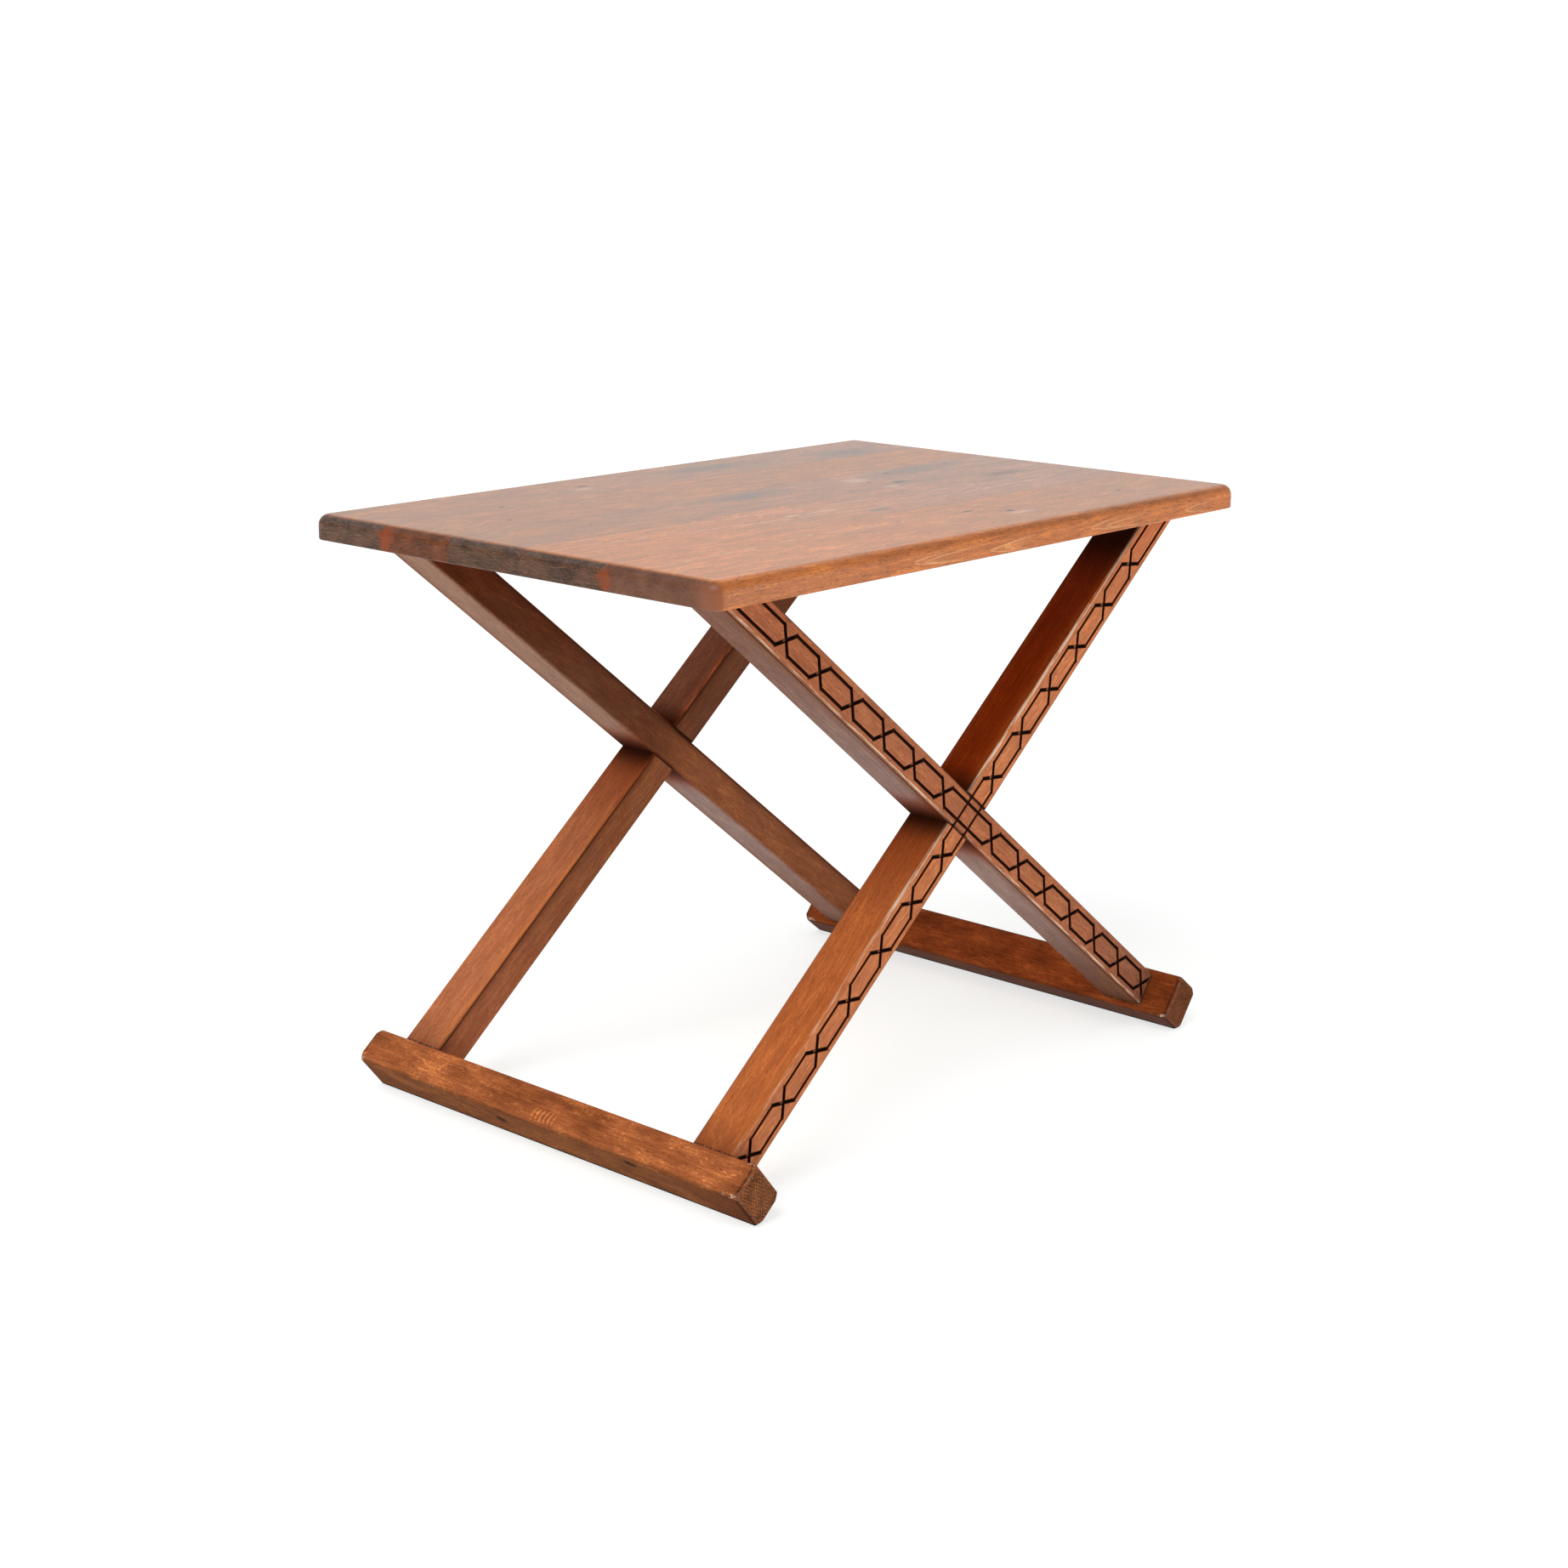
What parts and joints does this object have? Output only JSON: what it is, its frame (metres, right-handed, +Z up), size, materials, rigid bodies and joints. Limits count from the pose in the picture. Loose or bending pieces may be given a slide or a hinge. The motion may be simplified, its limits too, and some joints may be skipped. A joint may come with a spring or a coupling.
{
  "type": "low reading table",
  "caption": "Low rectangular wooden reading table on two fixed, half-lapped cross frames with line carving, standing on tilted foot rails, for holding a book in front of a seated reader.",
  "frame": {"origin": "on the floor, under the centre of the top", "axes": "+X along the long side of the top and its grain, +Y across the top from the near frame to the far frame, +Z up"},
  "size_m": [0.6, 0.4, 0.444],
  "materials": {
    "top_wood": "stained hardwood, satin lacquer",
    "leg_wood": "stained hardwood, satin lacquer, dark carved lines",
    "foot_wood": "stained hardwood, satin lacquer",
    "dowel_wood": "bare fluted hardwood"
  },
  "bodies": {
    "root": {"top_stave_1": "top_wood", "top_stave_2": "top_wood", "top_stave_3": "top_wood", "top_stave_4": "top_wood", "top_stave_5": "top_wood", "near_frame_through_leg": "leg_wood", "near_frame_lapped_leg": "leg_wood", "far_frame_through_leg": "leg_wood", "far_frame_lapped_leg": "leg_wood", "left_foot_rail": "foot_wood", "right_foot_rail": "foot_wood", "near_left_head_dowels": "dowel_wood", "near_left_foot_dowels": "dowel_wood", "near_right_head_dowels": "dowel_wood", "near_right_foot_dowels": "dowel_wood", "far_left_head_dowels": "dowel_wood", "far_left_foot_dowels": "dowel_wood", "far_right_head_dowels": "dowel_wood", "far_right_foot_dowels": "dowel_wood"}
  },
  "joints": []
}
